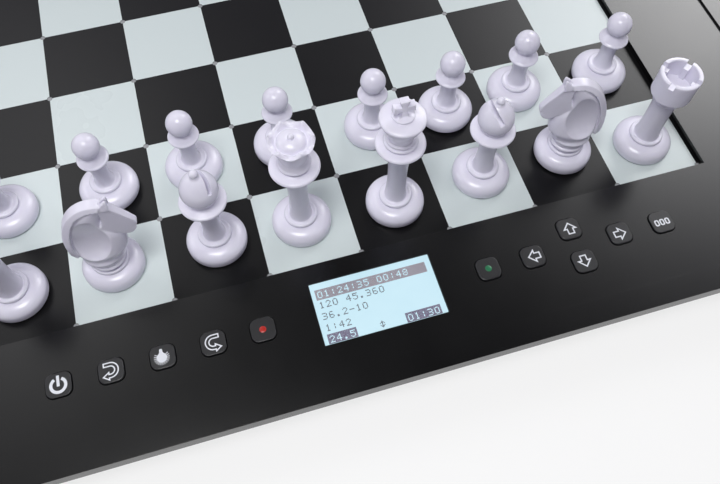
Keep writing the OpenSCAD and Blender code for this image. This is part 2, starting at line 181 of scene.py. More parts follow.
def settle(piece, tools=()):
    """Turns a piece with modifiers into a plain mesh and clears away the tools it was cut with."""
    bpy.context.view_layer.update()
    graph = bpy.context.evaluated_depsgraph_get()
    mesh = bpy.data.meshes.new_from_object(piece.evaluated_get(graph), depsgraph=graph)
    piece.modifiers.clear()
    piece.data = mesh
    for tool in tools:
        bpy.data.objects.remove(tool)
    return piece


def ease(piece, width, angle=40, segments=2):
    """Rounds the edges that are sharper than angle, and keeps flat faces flat."""
    bevel = piece.modifiers.new("eased", "BEVEL")
    bevel.width = width * MM
    bevel.segments = segments
    bevel.limit_method = "ANGLE"
    bevel.angle_limit = math.radians(angle)
    bevel.use_clamp_overlap = True
    weighted = piece.modifiers.new("flat faces", "WEIGHTED_NORMAL")
    weighted.keep_sharp = True
    return settle(piece)


def welded(node):
    """A welded copy of a CAD node as a millimetre mesh, each flat face in one piece."""
    bm = bmesh.new()
    bm.from_mesh(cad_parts[node].data)
    bmesh.ops.scale(bm, vec=(1 / MM,) * 3, verts=bm.verts)
    bmesh.ops.remove_doubles(bm, verts=bm.verts, dist=0.001)
    bmesh.ops.dissolve_limit(bm, angle_limit=math.radians(0.5), verts=bm.verts, edges=bm.edges)
    for face in bm.faces:
        face.material_index = 0
    return bm


def fit(piece, body, slot, *nodes):
    """Fixes a finished piece to its body, in place of the given CAD nodes; slot is not used."""
    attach(piece, body)
    if nodes:
        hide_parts(*nodes)
    return piece


tub_plastic = moulded("tub_black", (0.004, 0.004, 0.0045), (0.010, 0.010, 0.0105), 0.46,
                      grain=0.45, bite=0.03)
tub = ease(place("bottom_shell", welded("bottom_housing"), tub_plastic), 0.5)
fit(tub, "computer", "housing", "bottom_housing")


# ---- Sensor stack ----
# A circuit board with a lamp at every square corner and the pressure film that lies on it.
# They stay as the CAD has them; the tracks, pads and printed lines are in their finish.

square = 40.0


def repeat(tree, axis, pitch, width):
    """A mask that is 1 within width/2 of every whole multiple of pitch along an axis (0 X, 1 Y)."""
    where = add(tree, "ShaderNodeTexCoord").outputs["Object"]
    parts = add(tree, "ShaderNodeSeparateXYZ", {"Vector": where})
    away = reckon(tree, "PINGPONG", parts.outputs[axis], pitch * MM)
    return reckon(tree, "LESS_THAN", away, width * MM / 2)


def either(tree, first, second):
    """The mask of what lies in one pattern or the other."""
    return reckon(tree, "MAXIMUM", first, second)


def both(tree, first, second):
    """The mask of what lies in two patterns at once."""
    return reckon(tree, "MULTIPLY", first, second)


def lined(name, ground, line, mask_of, roughness=0.4, **sockets):
    """A finish with a printed or etched pattern: mask_of(tree) gives the pattern's mask."""
    plain = {title.replace("_", " "): value for title, value in sockets.items()}
    material, tree, shader = bare_material(name, plain)
    mask = mask_of(tree)
    fine = add(tree, "ShaderNodeGroup", {"Size": 0.8}, node_tree=fine_grain)
    slow = add(tree, "ShaderNodeGroup", {"Roughness": roughness}, node_tree=slow_mottle)
    raised = reckon(tree, "MULTIPLY_ADD", fine.outputs["Height"], 0.1, mask)
    bump = add(tree, "ShaderNodeBump", {"Height": raised, "Distance": 0.03 * MM})
    tree.links.new(two_tone(tree, mask, ground, line), shader.inputs["Base Color"])
    tree.links.new(slow.outputs["Roughness"], shader.inputs["Roughness"])
    tree.links.new(bump.outputs["Normal"], shader.inputs["Normal"])
    return material


def dress(node, material):
    """Gives a CAD node that stays its finish."""
    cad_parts[node].data.materials.clear()
    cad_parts[node].data.materials.append(material)


def board_tracks(tree):
    """Fine tracks in bands along and across the squares."""
    rows = both(tree, repeat(tree, 1, 2.0, 0.7), repeat(tree, 0, square, 26))
    columns = both(tree, repeat(tree, 0, 2.0, 0.7), repeat(tree, 1, square, 12))
    return either(tree, rows, columns)


def lamp_dies(tree):
    """The yellow die in the middle of each small lamp."""
    return both(tree, repeat(tree, 0, square, 0.7), repeat(tree, 1, square, 0.7))


def film_grid(tree):
    """The printed grid of the pressure film."""
    return either(tree, repeat(tree, 0, 5, 0.8), repeat(tree, 1, 5, 0.8))


dress("sensor_board", lined("board_green", (0.010, 0.085, 0.035), (0.03, 0.16, 0.07), board_tracks))
dress("corner_leds", lined("lamp_chip", (0.75, 0.74, 0.70), (0.85, 0.62, 0.12), lamp_dies))
dress("pressure_sheet", lined("sensing_film", (0.02, 0.02, 0.022), (0.32, 0.32, 0.33), film_grid))


# ---- Playing surface ----
# A thin black plate printed with 32 satin white squares, and drilled at every square corner.
# Each hole holds a clear grey light guide that lies level with the squares.

plate_low, plate_high = corners("playing_surface")
lamp_low, lamp_high = corners("lamp_windows")
lamp_hole = 2.5
deck = plate_high.z


def plate_tree():
    """A plate cut into squares, drilled at each corner, with every other square printed."""
    lengths = ("Square", "Half Width", "Thickness", "Top", "Hole")
    sockets = {title: ("NodeSocketFloat", 0.0) for title in lengths}
    sockets["Ground"] = ("NodeSocketMaterial", None)
    sockets["Print"] = ("NodeSocketMaterial", None)
    tree, given, result = new_group("printed_plate", "GeometryNodeTree", sockets,
                                    {"Geometry": "NodeSocketGeometry"})

    def point(x, y, z):
        return add(tree, "ShaderNodeCombineXYZ", {"X": x, "Y": y, "Z": z}).outputs[0]

    size = given.outputs
    whole = reckon(tree, "MULTIPLY", size["Square"], 10.0)
    blank = add(tree, "GeometryNodeMeshCube",
                {"Size": point(whole, whole, size["Thickness"]),
                 "Vertices X": 11, "Vertices Y": 11, "Vertices Z": 2})
    here = add(tree, "GeometryNodeInputPosition").outputs[0]
    far = point(size["Half Width"], size["Half Width"], 1.0)
    near = add(tree, "ShaderNodeVectorMath", {0: far, "Scale": -1.0}, operation="SCALE").outputs[0]
    inside = add(tree, "ShaderNodeVectorMath", {0: here, 1: far}, operation="MINIMUM").outputs[0]
    inside = add(tree, "ShaderNodeVectorMath", {0: inside, 1: near}, operation="MAXIMUM").outputs[0]
    middle = reckon(tree, "MULTIPLY_ADD", size["Thickness"], -0.5, size["Top"])
    trimmed = add(tree, "GeometryNodeSetPosition",
                  {"Geometry": blank.outputs["Mesh"], "Position": inside,
                   "Offset": point(0.0, 0.0, middle)})
    eight = reckon(tree, "MULTIPLY", size["Square"], 8.0)
    holes = add(tree, "GeometryNodeMeshGrid",
                {"Size X": eight, "Size Y": eight, "Vertices X": 9, "Vertices Y": 9})
    radius = reckon(tree, "MULTIPLY", size["Hole"], 0.5)
    drill = add(tree, "GeometryNodeMeshCylinder",
                {"Vertices": 24, "Radius": radius,
                 "Depth": reckon(tree, "MULTIPLY", size["Thickness"], 3.0)})
    drills = add(tree, "GeometryNodeInstanceOnPoints",
                 {"Points": holes.outputs["Mesh"], "Instance": drill.outputs["Mesh"]})
    lifted = add(tree, "GeometryNodeTranslateInstances",
                 {"Instances": drills.outputs[0], "Translation": point(0.0, 0.0, middle)})
    drilled = add(tree, "GeometryNodeMeshBoolean", operation="DIFFERENCE", solver="EXACT")
    tree.links.new(trimmed.outputs[0], drilled.inputs["Mesh 1"])
    tree.links.new(add(tree, "GeometryNodeRealizeInstances", {0: lifted.outputs[0]}).outputs[0],
                   drilled.inputs["Mesh 2"])

    at = add(tree, "ShaderNodeSeparateXYZ", {0: here}).outputs
    file = reckon(tree, "FLOOR", reckon(tree, "DIVIDE", at["X"], size["Square"]))
    rank = reckon(tree, "FLOOR", reckon(tree, "DIVIDE", at["Y"], size["Square"]))
    odd = reckon(tree, "FLOORED_MODULO", reckon(tree, "ADD", file, rank), 2.0)
    edge = reckon(tree, "MULTIPLY", size["Square"], 4.0)
    in_x = reckon(tree, "LESS_THAN", reckon(tree, "ABSOLUTE", at["X"]), edge)
    in_y = reckon(tree, "LESS_THAN", reckon(tree, "ABSOLUTE", at["Y"]), edge)
    normal = add(tree, "ShaderNodeSeparateXYZ", {0: add(tree, "GeometryNodeInputNormal").outputs[0]})
    up = reckon(tree, "GREATER_THAN", normal.outputs["Z"], 0.9)
    printed = both(tree, both(tree, odd, up), both(tree, in_x, in_y))
    whole_plate = add(tree, "GeometryNodeRealizeInstances", {0: drilled.outputs["Mesh"]})
    ground = add(tree, "GeometryNodeSetMaterial",
                 {"Geometry": whole_plate.outputs[0], "Material": size["Ground"]})
    pattern = add(tree, "GeometryNodeSetMaterial",
                  {"Geometry": ground.outputs[0], "Selection": printed, "Material": size["Print"]})
    tree.links.new(pattern.outputs[0], result.inputs["Geometry"])
    return tree


def grow(name, tree, start, **inputs):
    """Runs a Geometry Nodes tree on a start mesh and keeps the result as a plain mesh."""
    piece = place(name, start)
    maker = piece.modifiers.new(tree.name, "NODES")
    maker.node_group = tree
    for socket in tree.interface.items_tree:
        title = socket.name.replace(" ", "_")
        if socket.item_type == "SOCKET" and socket.in_out == "INPUT" and title in inputs:
            maker[socket.identifier] = inputs[title]
    return settle(piece)


dark_print = moulded("dark_square", (0.0012, 0.0012, 0.0015), (0.0042, 0.0042, 0.0046), 0.29,
                     grain=0.50, bite=0.013, swing=0.05, Specular_IOR_Level=0.30)
light_print = moulded("light_square", (0.640, 0.712, 0.705), (0.645, 0.717, 0.710), 0.28,
                      grain=0.5, bite=0.004, swing=0.04, mottle=80.0)
surface = grow("board_squares", plate_tree(), bmesh.new(), Square=square * MM,
               Half_Width=plate_high.x * MM, Thickness=(plate_high.z - plate_low.z) * MM,
               Top=deck * MM, Hole=lamp_hole * MM, Ground=dark_print, Print=light_print)
surface.data.shade_flat()
fit(surface, "computer", "playing_surface", "playing_surface")


def set_out_tree():
    """Stands one part on every point of the start mesh."""
    sockets = {"Geometry": ("NodeSocketGeometry", None), "Part": ("NodeSocketObject", None),
               "Finish": ("NodeSocketMaterial", None)}
    tree, given, result = new_group("set_out", "GeometryNodeTree", sockets,
                                    {"Geometry": "NodeSocketGeometry"})
    part = add(tree, "GeometryNodeObjectInfo", {"Object": given.outputs["Part"]})
    stood = add(tree, "GeometryNodeInstanceOnPoints",
                {"Points": given.outputs["Geometry"], "Instance": part.outputs["Geometry"]})
    real = add(tree, "GeometryNodeRealizeInstances", {"Geometry": stood.outputs["Instances"]})
    done = add(tree, "GeometryNodeSetMaterial",
               {"Geometry": real.outputs["Geometry"], "Material": given.outputs["Finish"]})
    tree.links.new(done.outputs["Geometry"], result.inputs["Geometry"])
    return tree


set_out = set_out_tree()


def points(places):
    """A mesh of loose points, in millimetres."""
    bm = bmesh.new()
    for spot in places:
        bm.verts.new(spot)
    return bm


def stand_on(name, places, part, material):
    """Copies one part to many places and keeps them as one piece."""
    piece = grow(name, set_out, points(places), Part=part, Finish=material)
    bpy.data.objects.remove(part)
    return piece


def arc(cx, cz, rx, rz, start, end, steps):
    """Points of an elliptical arc; angles in degrees."""
    turn = [math.radians(start + (end - start) * step / steps) for step in range(steps + 1)]
    return [(cx + rx * math.cos(a), cz + rz * math.sin(a)) for a in turn]


def turned(profile, segments=96):
    """A closed solid turned about Z from (radius, height) points that begin and end on the axis."""
    bm = bmesh.new()
    rows = []
    for radius, height in profile:
        if radius < 0.0001:
            rows.append([bm.verts.new((0, 0, height))] * segments)
            continue
        circle = [math.tau * step / segments for step in range(segments)]
        rows.append([bm.verts.new((radius * math.cos(a), radius * math.sin(a), height)) for a in circle])
    for low, high in zip(rows, rows[1:]):
        for this in range(segments):
            after = (this + 1) % segments
            loop = [low[this], low[after], high[after], high[this]]
            bm.faces.new(sorted(set(loop), key=loop.index))
    bmesh.ops.recalc_face_normals(bm, faces=bm.faces)
    return bm


guide_r = lamp_high.x - 4 * square
guide_h = lamp_high.z - lamp_low.z
guide_edge, guide_crown = 0.16, 0.15
guide_grey = moulded("lamp_guide", (0.34, 0.35, 0.36), (0.46, 0.47, 0.48), 0.18, grain=0.9, bite=0.01,
                     Transmission_Weight=0.25, IOR=1.49)
guide_profile = ([(0, -guide_h), (guide_r, -guide_h), (guide_r, -guide_edge)]
                 + arc(0, -guide_edge, guide_r, guide_crown, 20, 90, 5))
guide = place("one_guide", turned(guide_profile, segments=24))
square_corners = [(i * square, j * square, lamp_high.z) for i in range(-4, 5) for j in range(-4, 5)]
lamps = stand_on("corner_lamps", square_corners, guide, guide_grey)
fit(lamps, "computer", "lamp_window", "lamp_windows")


# ---- Control board ----
# The long circuit board under the key row, with its chips, one switch under each key, the lit
# display on its legs, the flat cable to the sensor board, the sounder and the adapter socket.

def key_lands(tree):
    """Rows of tinned lands on the control board."""
    return both(tree, repeat(tree, 0, 10.0, 1.2), repeat(tree, 1, 3.0, 1.0))


chip_black = moulded("chip_black", (0.012, 0.012, 0.012), (0.024, 0.024, 0.024), 0.5,
                     grain=0.2, bite=0.01)
switch_black = moulded("switch_black", (0.014, 0.014, 0.015), (0.025, 0.025, 0.026), 0.38, grain=0.3)
frame_grey = moulded("display_frame", (0.30, 0.31, 0.33), (0.38, 0.39, 0.41), 0.35, Metallic=0.6)
dress("main_board", lined("control_green", (0.010, 0.085, 0.035), (0.55, 0.42, 0.16), key_lands))
dress("ribbon_cable", lined("ribbon_grey", (0.50, 0.50, 0.47), (0.30, 0.30, 0.29),
                            lambda tree: repeat(tree, 0, 1.27, 0.35)))
INNER_PARTS = (("board_chips", chip_black, "dark_part", 0.15),
               ("key_switches", switch_black, "dark_part", 0.15),
               ("display_module", frame_grey, "display", 0.25),
               ("sounder", chip_black, "dark_part", 0.4))
for node, material, slot, width in INNER_PARTS:
    fit(ease(place(node + "_body", welded(node), material), width), "computer", slot, node)

tin = moulded("contact_tin", (0.55, 0.54, 0.52), (0.68, 0.67, 0.65), 0.25,
              grain=0.2, bite=0.004, Metallic=1.0)
socket_black = moulded("socket_black", (0.012, 0.012, 0.013), (0.020, 0.020, 0.021), 0.32,
                       grain=0.3, bite=0.01)
pin_reach = 1.3
socket_low, socket_high = corners("power_inlet")
socket_middle = (socket_low + socket_high) / 2
inlet_mesh = welded("power_inlet")
for face in inlet_mesh.faces:
    away = face.calc_center_median() - socket_middle
    face.material_index = int(math.hypot(away.x, away.z) < pin_reach)
inlet = ease(place("adapter_socket", inlet_mesh, socket_black, tin), 0.25)
fit(inlet, "computer", "dark_part", "power_inlet")


# ---- Top housing ----
# The black cover, moulded in one with the sunk board opening, the raised border and the band.
# Its faces have a fine spark grain, and every outer edge is eased so that it draws a thin light line.

cover_black = moulded("cover_black", (0.0012, 0.0012, 0.0015), (0.0030, 0.0030, 0.0034), 0.23,
                      grain=0.45, bite=0.010, swing=0.05)
cover = ease(place("top_cover", welded("top_housing"), cover_black), 0.45, segments=3)
fit(cover, "computer", "housing", "top_housing")


# ---- Display ----
# The glass of a small lit dot display. The dots stand a hair proud of the pale glass: a marked
# line, three lines of figures, two boxes and an up-and-down arrow, as on any menu.

glass_low, glass_high = corners("display_window")
dots_wide, dots_high = 128, 64
dot_x = (glass_high.x - glass_low.x) / dots_wide
dot_y = (glass_high.y - glass_low.y) / dots_high

DIGITS = {
    "0": (".###.", "#...#", "#...#", "#...#", "#...#", "#...#", ".###."),
    "1": ("..#..", ".##..", "..#..", "..#..", "..#..", "..#..", ".###."),
    "2": (".###.", "#...#", "....#", "...#.", "..#..", ".#...", "#####"),
    "3": ("####.", "....#", "....#", ".###.", "....#", "....#", "####."),
    "4": ("...#.", "..##.", ".#.#.", "#..#.", "#####", "...#.", "...#."),
    "5": ("#####", "#....", "####.", "....#", "....#", "#...#", ".###."),
    "6": (".###.", "#....", "#....", "####.", "#...#", "#...#", ".###."),
    "8": (".###.", "#...#", "#...#", ".###.", "#...#", "#...#", ".###."),
    ":": (".....", "..#..", "..#..", ".....", "..#..", "..#..", "....."),
    ".": (".....", ".....", ".....", ".....", ".....", ".##..", ".##.."),
    "-": (".....", ".....", ".....", "#####", ".....", ".....", "....."),
    " ": (".....",) * 7,
    "^": ("..#..", ".###.", "#.#.#", "..#..", "#.#.#", ".###.", "..#.."),
}
letter_step = 7
dot_cover, dot_t = 0.94, 0.02


def figures(text, left, top):
    """The dots (column, row) that a line of figures lights."""
    lit = set()
    for place_in_line, sign in enumerate(text):
        for row, bits in enumerate(DIGITS[sign]):
            for column, bit in enumerate(bits):
                if bit == "#":
                    lit.add((left + place_in_line * letter_step + column, top + row))
    return lit


def marked(text, left, top, wide, high, inset):
    """A filled box with its figures left open."""
    box = {(left + column, top + row) for column in range(wide) for row in range(high)}
    return box - figures(text, left + inset, top + 2)


lines = figures("120 45.360", 5, 20) | figures("36.2-10", 5, 32) | figures("1:42", 5, 44)
lines |= figures("^", 58, 55)
menu_bar = marked("01:24:35 00:48", 4, 7, 118, 11, 2)
boxes = marked("24.5", 4, 54, 30, 10, 2) | marked("01:30", 85, 54, 37, 10, 2)

lcd_glow, lcd_tree, lcd_shader = bare_material("lit_glass", {
    "Roughness": 0.35, "Emission Strength": 1.0, "Coat Weight": 0.1, "Coat Roughness": 0.3})
lcd_shade = add(lcd_tree, "ShaderNodeGroup", {"Size": 40.0}, node_tree=slow_mottle).outputs["Shade"]
lcd_ground = two_tone(lcd_tree, lcd_shade, (0.15, 0.19, 0.21), (0.20, 0.24, 0.26))
lcd_light = two_tone(lcd_tree, lcd_shade, (0.37, 0.58, 0.68), (0.50, 0.68, 0.74))
lcd_tree.links.new(lcd_ground, lcd_shader.inputs["Base Color"])
lcd_tree.links.new(lcd_light, lcd_shader.inputs["Emission Color"])
glass = ease(place("display_glass", welded("display_window"), lcd_glow), 0.12)
fit(glass, "computer", "display_window", "display_window")


def dot_layer(name, lit, dark, light):
    """One colour of dots, as thin raised tiles on the glass."""
    tile = bmesh.new()
    size = Matrix.Diagonal((dot_x * dot_cover, dot_y * dot_cover, dot_t, 1))
    bmesh.ops.create_cube(tile, size=1.0, matrix=size)
    places = [(glass_low.x + (column + 0.5) * dot_x, glass_high.y - (row + 0.5) * dot_y,
               glass_high.z + dot_t / 2) for column, row in sorted(lit)]
    finish = moulded(name, dark, light, 0.4, grain=1.2, bite=0.001, mottle=12.0)
    layer = stand_on(name, places, place("one_dot", tile), finish)
    layer.data.shade_flat()
    fit(layer, "computer", "display")


dot_layer("display_figures", lines, (0.10, 0.11, 0.13), (0.15, 0.16, 0.19))
dot_layer("display_bar", menu_bar, (0.28, 0.24, 0.28), (0.36, 0.30, 0.33))
dot_layer("display_boxes", boxes, (0.13, 0.10, 0.17), (0.18, 0.14, 0.22))


# ---- Keys ----
# Eleven soft-cornered black keys. Each carries a printed white sign, or a small coloured lens.
# A key is the CAD key with its edges rounded; its sign is a thin print that rides with it.

key_black = moulded("key_black", (0.006, 0.006, 0.007), (0.016, 0.016, 0.018), 0.34,
                    grain=0.35, bite=0.015)
sign_white = moulded("sign_white", (0.72, 0.74, 0.78), (0.82, 0.84, 0.88), 0.4, grain=0.3, bite=0.002)
print_t = 0.04


def stroke(path, width, closed=False):
    """Both sides of a pen line of one width along a path: two loops if closed, else one."""
    count = len(path)
    left, right = [], []
    for i, (x, y) in enumerate(path):
        before = path[i - 1] if closed or i else path[0]
        after = path[(i + 1) % count] if closed or i < count - 1 else path[-1]
        back = Vector((x - before[0], y - before[1])).normalized() if i or closed else None
        ahead = Vector((after[0] - x, after[1] - y)).normalized() if i < count - 1 or closed else None
        back = back or ahead
        ahead = ahead or back
        side = Vector((-(back.y + ahead.y), back.x + ahead.x)).normalized()
        reach = width / 2 / max(0.35, side.dot(Vector((-back.y, back.x))))
        left.append((x + side.x * reach, y + side.y * reach))
        right.append((x - side.x * reach, y - side.y * reach))
    return [left, right] if closed else [left + right[::-1]]


def sign(name, loops, body, slot, material):
    """A flat printed sign in the middle of a key; a loop inside another is a hole."""
    low, high = corners(body)
    curve = bpy.data.curves.new(name, "CURVE")
    curve.dimensions = "2D"
    curve.fill_mode = "BOTH"
    curve.extrude = print_t / 2
    for loop in loops:
        spline = curve.splines.new("POLY")
        spline.points.add(len(loop) - 1)
        spline.use_cyclic_u = True
        for spot, (x, y) in zip(spline.points, loop):
            spot.co = (x, y, 0, 1)
    drawn = bpy.data.objects.new(name + "_outline", curve)
    bpy.context.scene.collection.objects.link(drawn)
    bpy.context.view_layer.update()
    graph = bpy.context.evaluated_depsgraph_get()
    bm = bmesh.new()
    bm.from_mesh(drawn.evaluated_get(graph).to_mesh())
    bpy.data.objects.remove(drawn)
    bmesh.ops.remove_doubles(bm, verts=bm.verts, dist=0.0001)
    bmesh.ops.recalc_face_normals(bm, faces=bm.faces)
    middle = (low + high) / 2
    bmesh.ops.translate(bm, vec=(middle.x, middle.y, high.z + print_t / 2 - 0.005), verts=bm.verts)
    piece = place(name, bm, material)
    piece.data.shade_flat()
    return fit(piece, body, slot)


def turn_back(mirror):
    """The outline of a U-turn arrow; mirror is 1 or -1."""
    bend_r, bar, head = 2.35, 1.4, 1.5
    outer = arc(0, 0.2, bend_r + bar / 2, bend_r + bar / 2, 90, -90, 14)
    inner = arc(0, 0.2, bend_r - bar / 2, bend_r - bar / 2, -90, 90, 12)
    low = 0.2 - bend_r
    tip = [(-0.7, low - bar / 2), (-0.7, low - head), (-2.9, low), (-0.7, low + head),
           (-0.7, low + bar / 2)]
    tail = [(-2.4, 0.2 + bend_r - bar / 2), (-2.4, 0.2 + bend_r + bar / 2)]
    return [(mirror * x, y) for x, y in outer + tip + inner + tail]


def block_arrow(turn):
    """The outline of a block arrow that points along turn, in degrees."""
    upper = [(-0.2, 2.6), (-0.2, 1.25), (-2.5, 1.25)]
    whole = [(2.55, 0)] + upper + [(x, -y) for x, y in upper[::-1]]
    a = math.radians(turn)
    return [(x * math.cos(a) - y * math.sin(a), x * math.sin(a) + y * math.cos(a)) for x, y in whole]


def lit_bulb():
    """A filled bulb, cap upwards, with a crown of short rays."""
    rays, bulb_r, ray_tip, first, last = 15, 2.0, 3.1, 146, 394
    cap = [(0.95, 1.6), (0.62, 2.2), (0.62, 3.1), (0.35, 3.45)]
    outline = cap + [(-x, y) for x, y in cap[::-1]]
    for ray in range(rays):
        middle = math.radians(first + (last - first) * ray / (rays - 1))
        for radius, half in ((bulb_r, -0.075), (ray_tip, -0.045), (ray_tip, 0.045), (bulb_r, 0.075)):
            outline.append((radius * math.cos(middle + half), radius * math.sin(middle + half) - 0.2))
    return outline


def naughts():
    """Three plain noughts side by side, as on a counter's reset key."""
    loops = []
    for x in (-2.4, 0, 2.4):
        for half_x, half_y, cut in ((1.02, 1.5, 0.5), (0.42, 0.9, 0.22)):
            loops.append([(x + sx * (half_x - cx), sy * (half_y - cy)) for sx, sy, cx, cy in (
                (1, -1, 0, cut), (1, 1, 0, cut), (1, 1, cut, 0), (-1, 1, cut, 0),
                (-1, 1, 0, cut), (-1, -1, 0, cut), (-1, -1, cut, 0), (1, -1, cut, 0))])
    return loops


power_ring = [stroke(arc(0, -0.25, 2.8, 2.8, 119, 421, 40), 1.2)[0], stroke([(0, -0.7), (0, 3.7)], 1.1)[0]]
KEY_SIGNS = {
    "power_key": power_ring,
    "back_key": stroke(turn_back(1), 0.5, closed=True),
    "hint_key": [lit_bulb()],
    "forward_key": stroke(turn_back(-1), 0.5, closed=True),
    "left_key": stroke(block_arrow(180), 0.58, closed=True),
    "up_key": stroke(block_arrow(90), 0.58, closed=True),
    "down_key": stroke(block_arrow(-90), 0.58, closed=True),
    "right_key": stroke(block_arrow(0), 0.58, closed=True),
    "new_game_key": naughts(),
}
SIGN_OFF = {"back_key": (-0.2, 0), "hint_key": (-0.35, -0.2), "left_key": (0.6, 0),
            "up_key": (0.35, 0), "right_key": (0, -0.3), "new_game_key": (0, -0.25)}
KEY_LENSES = {"red_key": ((0.26, 0.008, 0.006), (0.42, 0.018, 0.010)),
              "green_key": ((0.006, 0.085, 0.035), (0.015, 0.16, 0.065))}

for key in list(KEY_SIGNS) + list(KEY_LENSES):
    cap = ease(place(key + "_cap", welded(key), key_black), 0.55, segments=4)
    fit(cap, key, "key", key)

for key, loops in KEY_SIGNS.items():
    off_x, off_y = SIGN_OFF.get(key, (0, 0))
    moved = [[(x + off_x, y + off_y) for x, y in loop] for loop in loops]
    sign(key + "_sign", moved, key, "key", sign_white)

lens_r, lens_rise = 1.4, 0.18
for key, (deep, bright) in KEY_LENSES.items():
    low, high = corners(key)
    lens_glow = moulded(key + "_lens", deep, bright, 0.3, grain=0.8, bite=0.004, mottle=2.0,
                        Emission_Color=(*bright, 1), Emission_Strength=0.25)
    dome = turned([(0, -0.3), (lens_r, -0.3), (lens_r, 0.0)] + arc(0, 0, lens_r, lens_rise, 12, 90, 5),
                  segments=32)
    bmesh.ops.translate(dome, vec=((low.x + high.x) / 2, (low.y + high.y) / 2, high.z), verts=dome.verts)
    fit(place(key + "_lamp", dome, lens_glow), key, "led")


# ---- Screws and feet ----
# Twelve plated cross-head screws from below and five rubber feet with a moulded ring.
# Both are made once and set out where the CAD has them.

def middles(node):
    """The middle of each separate solid in a CAD node, in millimetres."""
    bm = welded(node)
    left = set(bm.verts)
    found = []
    while left:
        reach = [left.pop()]
        solid = []
        while reach:
            vert = reach.pop()
            solid.append(vert.co.copy())
            for edge in vert.link_edges:
                other = edge.other_vert(vert)
                if other in left:
                    left.remove(other)
                    reach.append(other)
        lows = [min(co[axis] for co in solid) for axis in range(3)]
        highs = [max(co[axis] for co in solid) for axis in range(3)]
        found.append(tuple((a + b) / 2 for a, b in zip(lows, highs)))
    bm.free()
    return sorted(found)


plated = moulded("screw_plate", (0.48, 0.48, 0.50), (0.62, 0.62, 0.64), 0.30,
                 grain=0.25, bite=0.006, Metallic=1.0)
rubber = moulded("foot_rubber", (0.020, 0.020, 0.020), (0.036, 0.036, 0.036), 0.75,
                 grain=0.5, bite=0.05)
screw_low, screw_high = corners("housing_screws")
foot_h = corners("rubber_feet")[1].z
screw_tops = [(x, y, screw_low.z) for x, y, z in middles("housing_screws")]
foot_tops = [(x, y, 0) for x, y, z in middles("rubber_feet")]
shank = screw_high.z - screw_low.z
head_r, head_h, crest_r, root_r = 2.75, 1.8, 1.45, 1.1
thread = [(crest_r if step % 2 else root_r, 2.0 + (shank - 3.0) * step / 30) for step in range(31)]
screw_head = arc(0, 0.75, head_r, 0.75, -82, 0, 6) + [(head_r, 1.6), (2.6, head_h), (crest_r, head_h)]
screw_profile = [(0, 0)] + screw_head
screw_mesh = turned(screw_profile + thread + [(0.5, shank), (0, shank)], segments=32)
screw = place("one_screw", screw_mesh)


def carve(piece, tool, operation="DIFFERENCE"):
    """Joins a tool to a piece, or cuts it away."""
    cut = piece.modifiers.new("carved", "BOOLEAN")
    cut.operation = operation
    cut.solver = "EXACT"
    cut.use_self = operation == "UNION"
    cut.object = tool


def bar(half_x, half_y, low_z, high_z, spot=(0, 0, 0), turn=0, tilt=0):
    """A plain bar to cut with."""
    bm = bmesh.new()
    bmesh.ops.create_cube(bm, size=1.0, matrix=Matrix.Translation((0, 0, (low_z + high_z) / 2))
                          @ Matrix.Diagonal((2 * half_x, 2 * half_y, high_z - low_z, 1)))
    lean = Matrix.Rotation(math.radians(turn), 4, "Z") @ Matrix.Rotation(math.radians(tilt), 4, "Y")
    bmesh.ops.transform(bm, matrix=Matrix.Translation(spot) @ lean, verts=bm.verts)
    return place("bar", bm)


blades = [bar(1.65, 0.4, -1.1, 1.1, turn=turn) for turn in (0, 90)]
for blade in blades:
    carve(screw, blade)
settle(screw, blades)
fit(stand_on("cover_screws", screw_tops, screw, plated), "computer", "screw", "housing_screws")
foot_ring = [(0, 0.35), (5.2, 0.35), (5.5, 0.0)] + arc(6.9, 0.9, 1.1, 0.9, -90, 0, 6)
rubber_foot = place("one_foot", turned(foot_ring + [(8, foot_h), (0, foot_h)], segments=64))
fit(stand_on("feet", foot_tops, rubber_foot, rubber), "computer", "rubber", "rubber_feet")


# ---- Turned chess pieces ----
# Moulded resin kings, queens, bishops, rooks and pawns, each on a thin felt disc.
# Every one starts as a turned shape; slits, notches, cross and crown are worked into it.

base_r, foot_edge, foot_band, dome_top, bead = 12.8, 1.0, 3.2, 7.4, 0.9
felt_r, felt_t = 11.3, 0.4
stem_waist, disc_r, head_wide = 3.9, 10.0, 9.0

resin_white = moulded("resin_white", (0.765, 0.745, 0.85), (0.79, 0.775, 0.87), 0.24,
                      grain=2.5, bite=0.004, swing=0.05, mottle=9.0, Subsurface_Weight=0.12,
                      Subsurface_Radius=(2.0, 1.8, 2.2), Subsurface_Scale=0.001)
resin_black = moulded("resin_black", (0.012, 0.012, 0.013), (0.022, 0.022, 0.024), 0.26,
                      grain=2.5, bite=0.004, mottle=9.0)
felt = moulded("felt_disc", (0.045, 0.065, 0.055), (0.09, 0.12, 0.105), 0.95,
               grain=0.35, bite=0.12, Sheen_Weight=0.4)


def foot(radius):
    """Felt, rounded edge and base dome, up to the bead that ends it at the given radius."""
    edge = arc(base_r - foot_edge, felt_t + foot_edge, foot_edge, foot_edge, -90, 0, 5)
    dome = arc(radius, foot_band, base_r - radius, dome_top - foot_band, 0, 84, 14)
    ring = arc(radius - bead, dome_top + bead, bead, bead, -80, 140, 12)
    return [(0, 0), (felt_r, 0), (felt_r, felt_t)] + edge + dome + ring


def flare(low_z, high_z, low, waist, high, steps=16):
    """A stem that widens from its waist towards both ends."""
    rows = []
    for step in range(steps + 1):
        t = step / steps
        radius = waist + (low - waist) * (1 - t) ** 5 + (high - waist) * t ** 4
        rows.append((radius, low_z + (high_z - low_z) * t))
    return rows


def disc(radius, z, half):
    """The rounded edge of a disc."""
    return arc(radius - half, z, half, half, -90, 90, 8)


